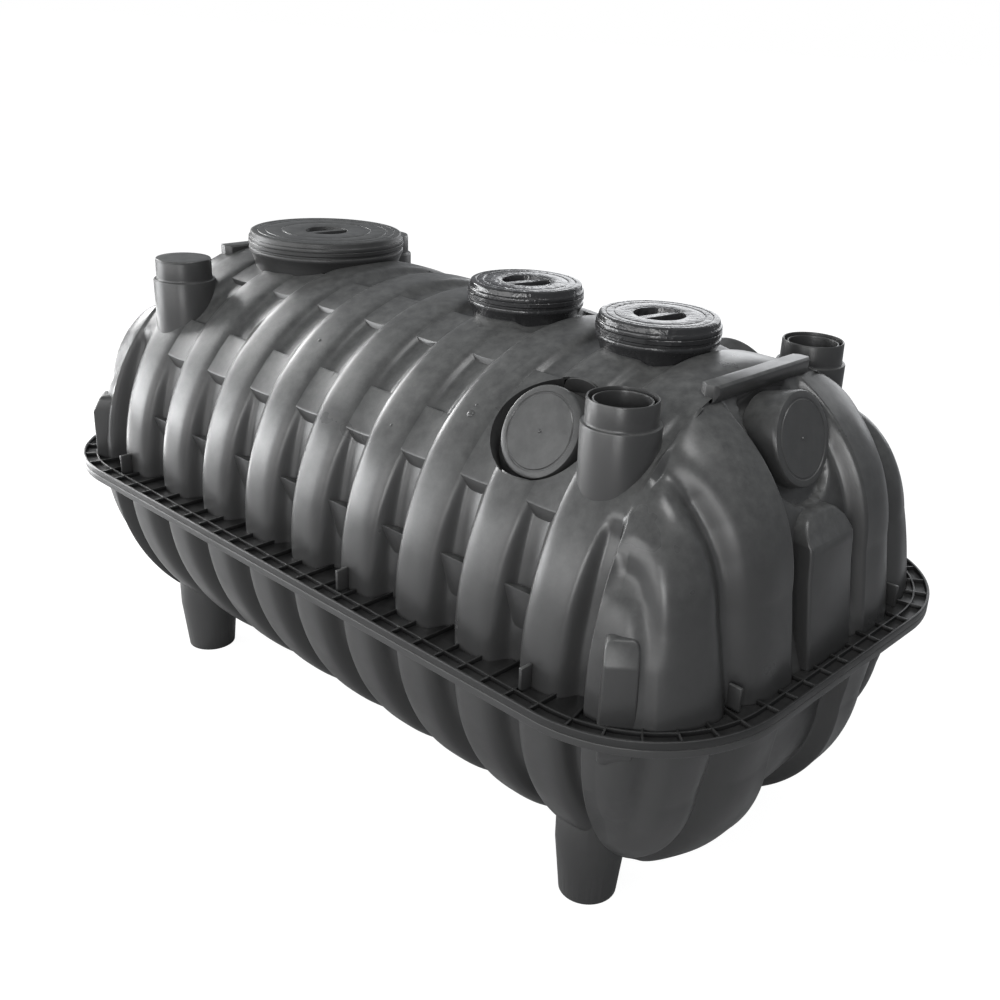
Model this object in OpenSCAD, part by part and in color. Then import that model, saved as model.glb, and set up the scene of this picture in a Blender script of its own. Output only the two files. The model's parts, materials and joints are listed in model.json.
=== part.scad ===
// Buried septic tank: two ribbed plastic half shells joined at a mid flange,
// three manhole lids on top, four upright pipe sockets and four stub feet.
// Millimetres. X runs along the tank, Z is up, feet stand on Z = 0.

/* [Overall] */
// Length over the flange
tank_l = 2300; // [1900:10:2800]
// Width over the flange
tank_w = 1242; // [1100:2:1500]
// Gap between the ground and the lowest ribs
ground_gap = 10; // [5:1:60]
// Plan corner radius of the flange
flange_r = 335; // [280:5:400]

/* [Shell] */
// Wall thickness
wall = 8; // [6:0.5:12]
// How far the flange stands out beyond the barrel ribs
flange_out = 76; // [60:1:100]
// Height of the barrel axis above the joint
barrel_rise = 40; // [20:5:80]
// Depth of the valleys between ribs
rib_depth = 50; // [30:2:60]
// Number of barrel ribs
rib_count = 9; // [7:2:11]

/* [Ends] */
// Length of each end, from the last valley of the barrel to the flange edge
end_reach = 299.5; // [280:0.5:330]
// Radius of the rolled end over its ribs
roll_r = 372; // [340:2:390]
// Drop from the barrel ribs to the top of the rolled end
end_drop = 13; // [8:1:20]
// Distance of the flange edge from the foot of the end
end_inset = 52; // [40:2:80]
// Outward lean of the end from the roll axis down to the joint
end_lean = 26; // [0:2:50]
// Depth of the panel between the two middle end ribs
panel_depth = 42; // [20:2:50]
// Half width of that panel
panel_w = 138; // [120:1:150]
// Depth of the groove beside each corner
groove_depth = 42; // [20:2:50]
// Depth of the groove in each corner
corner_depth = 40; // [20:2:60]
// Depth of the recess round each corner block
petal_depth = 28; // [10:2:40]
// Height of the upper middle buttress above the joint
buttress_h = 325; // [250:5:380]
// Half width of the middle buttresses
buttress_w = 87; // [60:1:100]
// Height of the upper corner blocks above the joint
corner_h = 185; // [120:5:220]
// Height of the lower middle buttress and corner blocks below the joint
low_h = 100; // [80:5:140]

/* [Flange] */
// Thickness of each flange
flange_t = 17.7; // [12:0.1:25]
// Thickness of the flange plate under its stiffening grid
deck_t = 6; // [4:0.5:10]
// Thickness of the lip round the flange
lip_t = 7; // [4:0.5:12]
// Spacing of the stiffening ribs
grid_pitch = 67; // [50:1:100]
// Thickness of the stiffening ribs
grid_t = 4; // [2:0.5:8]

/* [Manholes] */
// Rise of the lids above the barrel ribs
lid_up = 56; // [40:1:100]
// Radius of the large lid
lid_r_large = 205; // [180:1:220]
// Radius of the two small lids
lid_r_small = 133; // [110:1:150]
// Distance of the large lid from the far edge of the flange
lid_in_large = 553; // [520:1:600]
// Distance of the near lid from the near edge of the flange
lid_in_near = 574; // [550:1:600]
// Distance between the two small lids
lid_step = 402; // [330:1:480]
// Radius of the grip recess in each lid
grip_r = 58; // [50:1:70]

/* [Sockets] */
// Distance of the sockets from the ends of the flange
socket_in = 385; // [375:1:400]
// Distance of the sockets from the sides of the flange
socket_side = 275; // [250:1:300]
// Drop from the barrel ribs to the top of the sockets
socket_drop = 16; // [0:1:40]
// Radius of the socket ring
socket_r = 72; // [60:0.5:80]
// Height of the socket ring
ring_h = 50; // [30:1:80]
// Bottom of the socket tube above the joint
socket_low = 180; // [120:10:250]
// Bore radius of the socket, for a 110 drain pipe
socket_bore_r = 55.2; // [50:0.1:60]

/* [Bosses] */
// Radius of the round blank bosses on the sides and ends
boss_r = 100; // [80:1:105]
// Radius of the pocket round each side boss
pocket_r = 128; // [115:1:135]
// Distance of the side bosses from the near edge of the flange
boss_in = 583; // [560:1:600]
// Upward tilt of the side bosses
side_tilt = 29; // [15:1:40]
// Upward tilt of the end bosses
end_tilt = 17; // [5:1:30]
// Half length of the lift bars
bar_w = 175; // [120:5:190]

/* [Blocks] */
// Height of the blocks that stiffen the valleys
block_h = 38; // [20:1:45]
// Height of the low wedges in the valleys
wedge_h = 27; // [15:1:35]

/* [Feet] */
// Foot radius on the ground
foot_r = 66; // [50:1:80]
// Foot radius at the shell
foot_top_r = 80; // [60:1:84]
// Height of the taper of the foot
foot_taper = 140; // [80:5:180]

/* [Hidden] */
$fn = 96;
eps = 0.3;
half_l = tank_l / 2;
half_w = tank_w / 2;
cc_x = half_l - flange_r;
cc_y = half_w - flange_r;
barrel_r = half_w - flange_out;
valley_r = barrel_r - rib_depth;
crown = barrel_rise + barrel_r;
seam_h = crown + ground_gap;
joint_x = half_l - end_reach;
rib_pitch = 2 * joint_x / rib_count;
roll_x = half_l - end_inset - end_lean - roll_r;
roll_z = crown - end_drop - roll_r;
root_run = 34;
lid_top = crown + lid_up;
lid_x_large = lid_in_large - half_l;
lid_x_near = half_l - lid_in_near;
lid_x_middle = lid_x_near - lid_step;
socket_x = half_l - socket_in;
socket_y = half_w - socket_side;
socket_top = crown - socket_drop;
tube_r = socket_r + wall;
boss_x = half_l - boss_in;
boss_a = 48.6;
pocket_a = 51;
end_boss_a = 44.5;
big = 4000;

// rib section: [share of the half pitch from the crown, share of the depth]
rib_shape = [[0, 1], [0.2, 0.985], [0.36, 0.92], [0.48, 0.78], [0.58, 0.5],
    [0.65, 0.18], [0.72, 0], [1, 0]];

function rib_line(o) = [for (i = [0 : rib_count - 1]) let (c = (i - (rib_count - 1) / 2) * rib_pitch)
    each concat([for (k = [len(rib_shape) - 1 : -1 : 1])
            [valley_r - o + rib_depth * rib_shape[k][1], c - rib_shape[k][0] * rib_pitch / 2]],
        [for (k = [0 : len(rib_shape) - 2])
            [valley_r - o + rib_depth * rib_shape[k][1], c + rib_shape[k][0] * rib_pitch / 2]])];

function barrel_line(o) = concat(rib_line(o), [[valley_r - o, joint_x]]);

// half barrel, solid, axis along X, flat face on the joint
module barrel_solid(o) {
    translate([0, 0, barrel_rise]) rotate([0, 90, 0]) rotate([0, 0, 90])
        rotate_extrude(angle = 180)
            polygon(concat([[0, -joint_x]], barrel_line(o), [[0, joint_x]]));
    barrel_plan(o);
}

// straight foot of the barrel between its axis and the joint
module barrel_plan(o) {
    n = len(barrel_line(o));
    translate([0, 0, -2]) linear_extrude(barrel_rise + 2)
        polygon(concat([for (p = barrel_line(o)) [p[1], p[0]]],
            [for (i = [n - 1 : -1 : 0]) [barrel_line(o)[i][1], -barrel_line(o)[i][0]]]));
}

// half width of the barrel at height z above the joint, inset by o
function side_y(z, o) = sqrt(pow(barrel_r - o, 2) - pow(max(z - barrel_rise, 0), 2));

// reach of the end over its middle ribs at height z
function end_x(z, o) = roll_x + (z > roll_z ? sqrt(max(pow(roll_r - o, 2) - pow(z - roll_z, 2), 0))
    : roll_r - o + end_lean * (1 - z / roll_z));

// height where the rolled end meets the barrel
function end_top(o) = roll_z + sqrt(pow(roll_r - o, 2) - pow(joint_x - roll_x, 2));

// where the end starts, at height z: in the last valley's flank, at the joint on top
function end_root(z, o) = joint_x + (root_run + o * 0.7) * (1 - pow(min(z / end_top(o), 1), 2));

// columns across the end: [distance from the middle, share of the panel depth, buttress height]
function end_cols(bh) = concat(
    [[0, 1, bh], [buttress_w * 0.3, 1, bh], [buttress_w * 0.7, 1, bh * 0.88], [buttress_w - 5, 1, bh * 0.76],
        [buttress_w + 5, 1, 0], [panel_w - 12, 1, 0], [panel_w + 6, 0.12, 0], [panel_w + 22, 0, 0]],
    [for (q = side_cols) [q * barrel_r, -0.14 * hump(q, 0.4, 0.09), 0]]);
side_cols = [0.36, 0.44, 0.5, 0.54, 0.572, 0.6, 0.635, 0.68, 0.74, 0.79, 0.83, 0.86, 0.885, 0.91, 0.935, 0.952,
    0.96, 0.975, 0.988, 0.997];
levels_up = [0, 0.11, 0.2, 0.265, 0.345, 0.44, 0.5, 0.54, 0.575, 0.605, 0.66, 0.73, 0.79, 0.85, 0.9, 0.94, 0.975, 1];
levels_low = [0, 0.07, 0.115, 0.15, 0.187, 0.27, 0.36, 0.46, 0.54, 0.6, 0.66, 0.73, 0.79, 0.85, 0.9, 0.95, 1];

// how the depths change with height, from the joint to the top of the end
panel_run = [[0, 0.4], [0.15, 0.85], [0.37, 1], [0.8, 1], [0.93, 0.55], [1, 0]];
groove_run = [[0, 0.7], [0.22, 0.85], [0.55, 1], [0.8, 1], [0.86, 0.8], [0.93, 0.3], [1, 0]];
corner_run = [[0, 0.3], [0.3, 0.45], [0.5, 0.8], [0.62, 1], [0.66, 0.5], [0.7, 0]];
petal_run = [[0, 1], [0.45, 0.8], [0.6, 0.3], [0.66, 0]];
square_run = [[0, 3.1], [0.37, 2.75], [0.65, 2.6], [0.83, 2.3], [1, 2.2]];

// where the groove and the corner groove stand, as shares of the half width
groove_path = [[0, 0.585], [0.68, 0.6], [0.76, 0.66], [0.82, 0.8], [0.86, 0.95], [1, 1]];
corner_path = [[0, 0.925], [0.145, 0.92], [0.35, 0.9], [0.47, 0.9], [0.55, 0.95], [0.62, 1], [1, 1]];

// rise of the last valley's floor to the shoulder that carries the socket, by angle round the barrel
shoulder_run = [[33, 0], [38, 0.9], [54, 0.9], [59, 0]];

function hump(q, m, w) = exp(-pow((q - m) / w, 2));

// share of the buttress left at height z, and of the corner recess that stands open over its block
function fade(h, z) = z < h - 30 ? 1 : z < h ? (h - z) / 30 : 0;
function corner_open(h, z) = z < h - 40 ? 0 : z < h ? 1 - (h - z) / 40 : 1;

// depth of all the grooves in column c at height share t, with corner blocks of height ch
function end_depth(c, t, o, z, ch) = let (q = c[0] / barrel_r)
    c[1] * panel_depth * lookup(t, panel_run) * (1 - (o > 0 ? 0 : fade(c[2], z)))
    + groove_depth * lookup(t, groove_run) * hump(q, lookup(t, groove_path), 0.05)
    + corner_depth * lookup(t, corner_run) * hump(q, lookup(t, corner_path), 0.036)
    + petal_depth * lookup(t, petal_run) * max(0, min(1, (q - 0.87) / 0.05))
        * (o <= 0 && q > 0.955 ? corner_open(ch, z) : 1);

// point of the end: column c (signed by m), height share t, inset o, corner block height ch
function end_pt(c, m, t, o, ch) = let (z = t * end_top(o), w = side_y(z, o), q = c[0] / barrel_r,
    y = min(c[0] - o * q, pow(q, 0.25) * w), n = lookup(t, square_run),
    r = pow(max(1 - pow(y / w, n), 0), 1 / n), x0 = end_root(z, o))
    [x0 + max((end_x(z, o) - x0) * r - (t < 1 ? end_depth(c, t, o, z, ch) : 0), t < 1 ? 3 * (1 - q) : 0), m * y, z];

// one row of the end, from left to right, at height share t
function end_row(t, o, bh, ch) = let (c = end_cols(bh), n = len(c), z = t * end_top(o)) concat(
    [[end_root(z, o), -side_y(z, o), z]], [for (i = [n - 1 : -1 : 1]) end_pt(c[i], -1, t, o, ch)],
    [for (i = [0 : n - 1]) end_pt(c[i], 1, t, o, ch)], [[end_root(z, o), side_y(z, o), z]]);

// the valley ring of the barrel, opposite point p of the end's edge
function ring_pt(p, o) = let (h = p[2] - barrel_rise,
    r = valley_r - o + (o > 0 ? 0 : rib_depth * lookup(atan2(h, abs(p[1])), shoulder_run)))
    h <= 0 ? [joint_x, sign(p[1]) * r, p[2]]
    : [joint_x, p[1] * r / norm([p[1], h]), barrel_rise + h * r / norm([p[1], h])];

// edge of the end, left foot over the top to the right foot
function end_edge(rows) = let (n = len(rows), m = len(rows[0])) concat(
    [for (j = [0 : n - 1]) rows[j][0]], [for (i = [1 : m - 1]) rows[n - 1][i]],
    [for (j = [n - 2 : -1 : 0]) rows[j][m - 1]]);

// hollow shell of one end as one closed skin: outside, inside and both rims
module shell_end(levels, bh, ch) {
    rows_a = [for (t = levels) end_row(t, 0, bh, ch)];
    rows_b = [for (t = levels) end_row(t, wall, bh, ch)];
    n = len(rows_a);
    m = len(rows_a[0]);
    edge_n = 2 * n + m - 2;
    edge_id = concat([for (j = [0 : n - 1]) j * m], [for (i = [1 : m - 1]) (n - 1) * m + i],
        [for (j = [n - 2 : -1 : 0]) j * m + m - 1]);
    ring_a = [for (p = end_edge(rows_a)) ring_pt(p, 0)];
    ring_b = [for (p = end_edge(rows_b)) ring_pt(p, wall)];
    skin = n * m + edge_n;
    grid = [for (j = [0 : n - 2], i = [0 : m - 2]) each [
        [j * m + i, (j + 1) * m + i, (j + 1) * m + i + 1], [j * m + i, (j + 1) * m + i + 1, j * m + i + 1]]];
    flank = [for (k = [0 : edge_n - 2]) each [
        [edge_id[k], n * m + k, n * m + k + 1], [edge_id[k], n * m + k + 1, edge_id[k + 1]]]];
    lip = [for (k = [0 : edge_n - 2]) each [
        [n * m + k, skin + n * m + k, skin + n * m + k + 1], [n * m + k, skin + n * m + k + 1, n * m + k + 1]]];
    foot_id = concat([n * m], [for (i = [0 : m - 1]) i], [n * m + edge_n - 1]);
    foot = [for (k = [0 : len(foot_id) - 2]) each [
        [foot_id[k], foot_id[k + 1], skin + foot_id[k + 1]], [foot_id[k], skin + foot_id[k + 1], skin + foot_id[k]]]];
    polyhedron(
        points = concat([for (r = rows_a) each r], ring_a, [for (r = rows_b) each r], ring_b),
        faces = concat(grid, flank, [for (f = concat(grid, flank)) [skin + f[0], skin + f[2], skin + f[1]]],
            lip, foot));
}

// round hollow of the barrel at its ends
module barrel_bore() {
    w = valley_r - wall;
    translate([joint_x - 1, 0, barrel_rise]) rotate([0, 90, 0]) cylinder(r = w, h = wall + 2);
    translate([joint_x - 1, -w, -2]) cube([wall + 2, 2 * w, barrel_rise + 2]);
}

module below() translate([-big / 2, -big / 2, -big]) cube([big, big, big]);

module shell_barrel() {
    difference() {
        barrel_solid(0);
        barrel_solid(wall);
        for (m = [0, 1]) mirror([m, 0, 0]) translate([-wall, 0, 0]) barrel_bore();
        below();
    }
}

// plan outline of the rim: straight sides and true corner arcs
module rim_plan(o) {
    square([2 * cc_x, tank_w - 2 * o], center = true);
    square([tank_l - 2 * o, 2 * cc_y], center = true);
    for (sx = [-1, 1], sy = [-1, 1]) translate([sx * cc_x, sy * cc_y]) circle(flange_r - o);
}

module upper_barrel() color("#3a3d40") translate([0, 0, seam_h]) difference() {
    shell_barrel();
    lid_holes();
    socket_holes(eps);
    boss_holes(pocket_r + wall);
}

module lid_holes() {
    neck_outside(lid_x_large, lid_r_large);
    neck_outside(lid_x_middle, lid_r_small);
    neck_outside(lid_x_near, lid_r_small);
}

module socket_holes(o) {
    for (sx = [-1, 1], sy = [-1, 1]) translate([sx * socket_x, sy * socket_y, barrel_rise])
        cylinder(r = tube_r - o, h = crown);
}

module boss_holes(r) for (m = [0, 1]) mirror([0, m, 0]) pocket_hole(r);

// round hole square to the barrel, about the side boss
module pocket_hole(r) translate([boss_x, barrel_r * cos(pocket_a), barrel_rise + barrel_r * sin(pocket_a)])
    rotate([pocket_a - 90, 0, 0]) translate([0, 0, -120]) cylinder(r = r, h = 200);

module upper_end() shell_end(levels_up, buttress_h, corner_h);
module lower_end() mirror([0, 0, 1]) shell_end(levels_low, low_h, low_h - 8);
module upper_end_near() color("#3a3d40") translate([0, 0, seam_h]) upper_end();
module upper_end_far() color("#3a3d40") translate([0, 0, seam_h]) mirror([1, 0, 0]) upper_end();
module lower_barrel() color("#34373a") translate([0, 0, seam_h]) mirror([0, 0, 1]) shell_barrel();
module lower_end_near() color("#34373a") translate([0, 0, seam_h]) lower_end();
module lower_end_far() color("#34373a") translate([0, 0, seam_h]) mirror([1, 0, 0]) lower_end();

// plan of the shell's foot, which the flange fits round
module foot_plan(o, bh) {
    n = len(barrel_line(o));
    polygon(concat([for (p = barrel_line(o)) [p[1], p[0]]],
        [for (i = [n - 1 : -1 : 0]) [barrel_line(o)[i][1], -barrel_line(o)[i][0]]]));
    for (m = [0, 1]) mirror([m, 0]) polygon(concat([[joint_x - 1, -(valley_r - o)], [joint_x, -(valley_r - o)]],
        [for (p = end_row(0, o, bh, bh)) [p[0], p[1]]], [[joint_x, valley_r - o], [joint_x - 1, valley_r - o]]));
}

// one stretch of the flange: thin deck round the shell, upstanding lip at the rim
module flange_part(part) {
    linear_extrude(deck_t) intersection() {
        difference() { rim_plan(0); foot_plan(-eps, low_h); }
        part_plan(part);
    }
    translate([0, 0, deck_t]) linear_extrude(flange_t - deck_t) intersection() {
        difference() { rim_plan(0); rim_plan(lip_t); }
        part_plan(part);
    }
}

// plan of one stretch: the straight right side, or the near end with its corners
module part_plan(part) {
    if (part == "side") translate([-cc_x, 0]) square([2 * cc_x, tank_w]);
    if (part == "end") translate([cc_x, -half_w]) square([tank_l, tank_w]);
}

// stiffening ribs standing on the deck
module flange_grid() {
    nx = floor(cc_x / grid_pitch);
    ny = floor(cc_y / grid_pitch);
    translate([0, 0, deck_t]) linear_extrude(flange_t - deck_t - 2) difference() {
        intersection() {
            difference() { rim_plan(lip_t); foot_plan(-1, low_h); }
            union() {
                for (i = [-nx : nx]) translate([i * grid_pitch - grid_t / 2, -half_w]) square([grid_t, tank_w]);
                for (i = [-ny : ny]) translate([-half_l, i * grid_pitch - grid_t / 2]) square([tank_l, grid_t]);
                for (sx = [-1, 1], sy = [-1, 1], a = [12 : 13 : 80])
                    translate([sx * cc_x, sy * cc_y]) rotate(sx * sy * a + (sx < 0 ? 180 : 0))
                        translate([100, -grid_t / 2]) square([flange_r, grid_t]);
                difference() { rim_plan(flange_out / 2 - grid_t); rim_plan(flange_out / 2); }
            }
        }
        lug_plan(1);
    }
}

// feet of the upright lugs on the deck, along the sides and at the ends
module lug_plan(o) {
    for (m = [0, 1], x = [-socket_x - 6, lid_x_middle - 2, socket_x - 22]) mirror([0, m])
        translate([x - lug_t / 2 - o, barrel_r + 1 - o]) square([lug_t + 2 * o, lug_w + 2 * o]);
    for (m = [0, 1], k = [0, 1]) mirror([0, m]) mirror([k, 0])
        translate([lug_end_x + 1 - o, lug_share * barrel_r - lug_t / 2 - o]) square([lug_w + 2 * o, lug_t + 2 * o]);
}
lug_w = 30;
lug_t = 8;
lug_h = 54;
lug_share = 0.586;
lug_end_x = end_pt([lug_share * barrel_r, 0, 0], 1, 0, 0, 0)[0];

module flange_lugs() color("#2c2e31") translate([0, 0, seam_h + deck_t]) linear_extrude(lug_h) lug_plan(0);

module upper_flange_right() color("#3a3d40") translate([0, 0, seam_h]) flange_part("side");
module upper_flange_left() color("#3a3d40") translate([0, 0, seam_h]) mirror([0, 1, 0]) flange_part("side");
module upper_flange_near() color("#3a3d40") translate([0, 0, seam_h]) flange_part("end");
module upper_flange_far() color("#3a3d40") translate([0, 0, seam_h]) mirror([1, 0, 0]) flange_part("end");
module upper_flange_grid() color("#2f3234") translate([0, 0, seam_h]) flange_grid();
module lower() color("#34373a") translate([0, 0, seam_h]) mirror([0, 0, 1]) children();
module lower_flange_right() lower() flange_part("side");
module lower_flange_left() lower() mirror([0, 1, 0]) flange_part("side");
module lower_flange_near() lower() flange_part("end");
module lower_flange_far() lower() mirror([1, 0, 0]) flange_part("end");

// height where a neck of radius r starts inside the barrel
function neck_low(r) = barrel_rise + sqrt(pow(valley_r - wall, 2) - pow(r, 2));

// outside of a manhole neck, which also cuts its seat in the shell
module neck_outside(x, r) translate([x, 0, 0]) rotate_extrude()
    polygon([[0, neck_low(r)], [r - 22, neck_low(r)], [r - 8, crown - 25], [r - 2, crown - 10],
        [r + 5, lid_top - 51], [r + 5, lid_top - 43], [r + 2, lid_top - 41], [r + 2, lid_top - 37],
        [r + 6, lid_top - 35], [r + 6, lid_top - seat_h], [0, lid_top - seat_h]]);
seat_h = 25;

// manhole neck: flaring tube from the shell up to the lid seat
module neck(x, r) color("#3a3d40") translate([0, 0, seam_h]) difference() {
    neck_outside(x, r);
    translate([x, 0, 0]) rotate_extrude()
        polygon([[0, neck_low(r) - 1], [r - 22 - wall, neck_low(r) - 1], [r - 10 - wall, crown - 10],
            [r - 4 - wall, lid_top - 51], [r - 4 - wall, lid_top], [0, lid_top]]);
}

module neck_large() neck(lid_x_large, lid_r_large);
module neck_middle() neck(lid_x_middle, lid_r_small);
module neck_near() neck(lid_x_near, lid_r_small);

// manhole lid: stepped disc with a round recess and a grip bar across it
module lid(x, r, a) color("#2c2e31") translate([x, 0, seam_h + lid_top]) difference() {
    union() {
        translate([0, 0, -seat_h]) cylinder(r = r + 5, h = 10);
        translate([0, 0, 10 - seat_h]) cylinder(r = r, h = seat_h - 10);
    }
    difference() {
        translate([0, 0, -18]) cylinder(r = grip_r, h = 19);
        rotate(a) translate([-grip_r - 1, -9, -19]) cube([2 * grip_r + 2, 18, 16]);
    }
}

module lid_large() lid(lid_x_large, lid_r_large, 85);
module lid_middle() lid(lid_x_middle, lid_r_small, 76);
module lid_near() lid(lid_x_near, lid_r_small, 80);

// upright pipe socket through the shell: tube, and a ring with a clear slot round the bore
module socket(sx, sy) color("#3a3d40") translate([sx * socket_x, sy * socket_y, seam_h]) difference() {
    union() {
        translate([0, 0, socket_low]) cylinder(r = tube_r, h = socket_top - ring_h - socket_low);
        translate([0, 0, socket_top - ring_h]) cylinder(r = socket_r, h = ring_h);
    }
    translate([0, 0, socket_low - 1]) cylinder(r = socket_bore_r, h = crown);
    translate([0, 0, socket_top - ring_h + 10]) difference() {
        cylinder(r = socket_r - 5, h = ring_h);
        translate([0, 0, -1]) cylinder(r = socket_bore_r + 5, h = ring_h + 2);
    }
}

module socket_near_left() socket(1, -1);
module socket_near_right() socket(1, 1);
module socket_far_left() socket(-1, -1);
module socket_far_right() socket(-1, 1);

module socket_caps() color("#2c2e31") for (m = [-1, 1])
    translate([-socket_x, m * socket_y, seam_h + socket_top]) cylinder(r = socket_r - 1, h = 5);

// plain barrel core of radius r, along X
module core(r) translate([-joint_x, 0, barrel_rise]) rotate([0, 90, 0]) cylinder(r = r, h = 2 * joint_x);

// round boss: its face at the local origin, its body behind
module boss(depth, r) translate([0, 0, -depth]) cylinder(r = r, h = depth);

module at_side_boss() translate([boss_x, barrel_r * cos(boss_a), barrel_rise + barrel_r * sin(boss_a)])
    rotate([side_tilt - 90, 0, 0]) children();

// side boss standing in its pocket, with the pocket's own floor and rim
module side_boss() color("#3a3d40") translate([0, 0, seam_h]) difference() {
    union() {
        difference() {
            intersection() { barrel_solid(0); pocket_hole(pocket_r + wall - eps); }
            difference() { pocket_hole(pocket_r); core(valley_r + 1); }
        }
        at_side_boss() boss(130, boss_r);
    }
    at_side_boss() translate([0, 0, -wall]) boss(140, boss_r - wall);
    at_side_boss() translate([0, 0, -2]) difference() { cylinder(r = boss_r - 15, h = 3); cylinder(r = boss_r - 18, h = 3); }
    core(valley_r - wall);
    socket_holes(-eps);
}
module side_boss_right() side_boss();
module side_boss_left() mirror([0, 1, 0]) side_boss();

// side view of the end's middle panel
module panel_side() polygon(concat([[joint_x - 60, 0]],
    [for (t = levels_up) let (p = end_pt([0, 1, 0], 1, t, 0, 0)) [p[0] + eps, p[2] + eps]],
    [[joint_x - 60, end_top(0) + eps]]));

// end boss, fitted to the panel behind it
module end_boss() color("#3a3d40") translate([0, 0, seam_h]) difference() {
    at_end_boss() boss(90, boss_r);
    at_end_boss() translate([0, 0, -wall]) boss(90, boss_r - wall);
    at_end_boss() translate([0, 0, -2]) difference() { cylinder(r = boss_r - 15, h = 3); cylinder(r = boss_r - 18, h = 3); }
    translate([0, panel_w, 0]) rotate([90, 0, 0]) linear_extrude(2 * panel_w) panel_side();
}
module at_end_boss() translate([roll_x + roll_r * cos(end_boss_a), 0, roll_z + roll_r * sin(end_boss_a)])
    rotate([0, 90 - end_tilt, 0]) children();
module end_boss_near() end_boss();
module end_boss_far() mirror([1, 0, 0]) end_boss();

// lift bar seated in the last valley of the barrel
module lift_bar() color("#3a3d40") translate([0, 0, seam_h]) difference() {
    intersection() {
        translate([joint_x, bar_w, 0]) rotate([90, 0, 0]) linear_extrude(2 * bar_w)
            polygon([[-36, crown - 70], [-36, crown - 11], [-31, crown - 7], [6, crown - 7], [11, crown - 12],
                [11, crown - 25], [2, end_top(0) + 1], [0, end_top(0) + 1], [0, crown - 70]]);
        linear_extrude(crown) polygon([[joint_x - 36, -bar_w + 12], [joint_x - 18, -bar_w], [joint_x + 2, -bar_w],
            [joint_x + 12, -bar_w + 10], [joint_x + 12, bar_w - 10], [joint_x + 2, bar_w], [joint_x - 18, bar_w],
            [joint_x - 36, bar_w - 12]]);
    }
    barrel_solid(-eps);
}
module lift_bar_near() lift_bar();
module lift_bar_far() mirror([1, 0, 0]) lift_bar();

// section that fills a valley up to height h over its floor
function valley_fill(h) = let (s = [for (p = rib_shape) if (p[1] * rib_depth < h - 1) p],
    k = lookup(h / rib_depth, [for (i = [0 : 6]) [rib_shape[6 - i][1], rib_shape[6 - i][0]]]),
    half = concat([[valley_r + h, (1 - k) * rib_pitch / 2 - 1]],
        [for (p = s) if (p[0] < 1) [valley_r + p[1] * rib_depth + eps, (1 - p[0]) * rib_pitch / 2 - 1]]))
    concat(half, [for (i = [len(half) - 1 : -1 : 0]) [half[i][0], -half[i][1]]]);

function polar(r, a) = [r * cos(a), r * sin(a)];

// block in the valley at x: ramp from angle tip up to angle top, then flush to angle stop
module valley_block(x, h, tip, top, stop) {
    t = polar(valley_r + 2, tip);
    u = polar(valley_r + h, top);
    translate([x, 0, barrel_rise]) difference() {
        rotate([0, 90, 0]) rotate([0, 0, 90 + tip]) rotate_extrude(angle = stop - tip, $fn = 480)
            polygon(valley_fill(h));
        translate([-rib_pitch / 2, 0, 0]) rotate([90, 0, 90]) linear_extrude(rib_pitch)
            polygon([t + (t - u) * 0.4, t + (u - t) * 1.4, polar(valley_r + 100, top), polar(valley_r + 100, tip - 6)]);
    }
}

function valley_x(i) = (i - rib_count / 2) * rib_pitch;

module low_valley_wedges() color("#3a3d40") translate([0, 0, seam_h]) for (m = [0, 1], i = [1 : rib_count - 1])
    mirror([0, m, 0]) valley_block(valley_x(i), wedge_h, i % 2 == 0 ? 5 : 8.5, 15.2, 15.2);

module side_valley_blocks() color("#3a3d40") translate([0, 0, seam_h]) difference() {
    for (m = [0, 1], i = [1 : rib_count - 3]) mirror([0, m, 0]) valley_block(valley_x(i), block_h, 30, 35, 45.5);
    socket_holes(-eps);
}

module top_valley_blocks() color("#3a3d40") translate([0, 0, seam_h]) difference() {
    for (m = [0, 1], i = [1 : rib_count - 3]) mirror([0, m, 0]) valley_block(valley_x(i), block_h, 62, 66, 76);
    lid_holes();
}

// four stub feet under the lower shell
module feet() color("#34373a") difference() {
    for (sx = [-1, 1], sy = [-1, 1]) translate([sx * socket_x, sy * socket_y, 0]) {
        cylinder(r1 = foot_r, r2 = foot_top_r, h = foot_taper);
        translate([0, 0, foot_taper]) cylinder(r = foot_top_r, h = foot_high - foot_taper);
    }
    translate([0, 0, seam_h]) mirror([0, 0, 1]) barrel_solid(0);
}
foot_high = seam_h - barrel_rise - sqrt(pow(valley_r, 2) - pow(socket_y + foot_top_r, 2)) + 10;

upper_barrel();
upper_end_near();
upper_end_far();
upper_flange_left();
upper_flange_right();
upper_flange_near();
upper_flange_far();
upper_flange_grid();
lower_barrel();
lower_end_near();
lower_end_far();
lower_flange_left();
lower_flange_right();
lower_flange_near();
lower_flange_far();
neck_large();
neck_middle();
neck_near();
lid_large();
lid_middle();
lid_near();
socket_near_left();
socket_near_right();
socket_far_left();
socket_far_right();
socket_caps();
side_boss_left();
side_boss_right();
end_boss_near();
end_boss_far();
lift_bar_near();
lift_bar_far();
low_valley_wedges();
side_valley_blocks();
top_valley_blocks();
flange_lugs();
feet();
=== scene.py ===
# %% [markdown]
# # A buried septic tank, dressed
# The tank is two ribbed half shells of black plastic, joined at a flange at mid height.
# The frame holds the tank's solids at their real size. This script keeps their places and gives
# them soft moulded shapes, small details and finishes.

# %% Load the frame
import json
import math
import bpy
import numpy as np
from mathutils import Matrix, Vector


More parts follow.
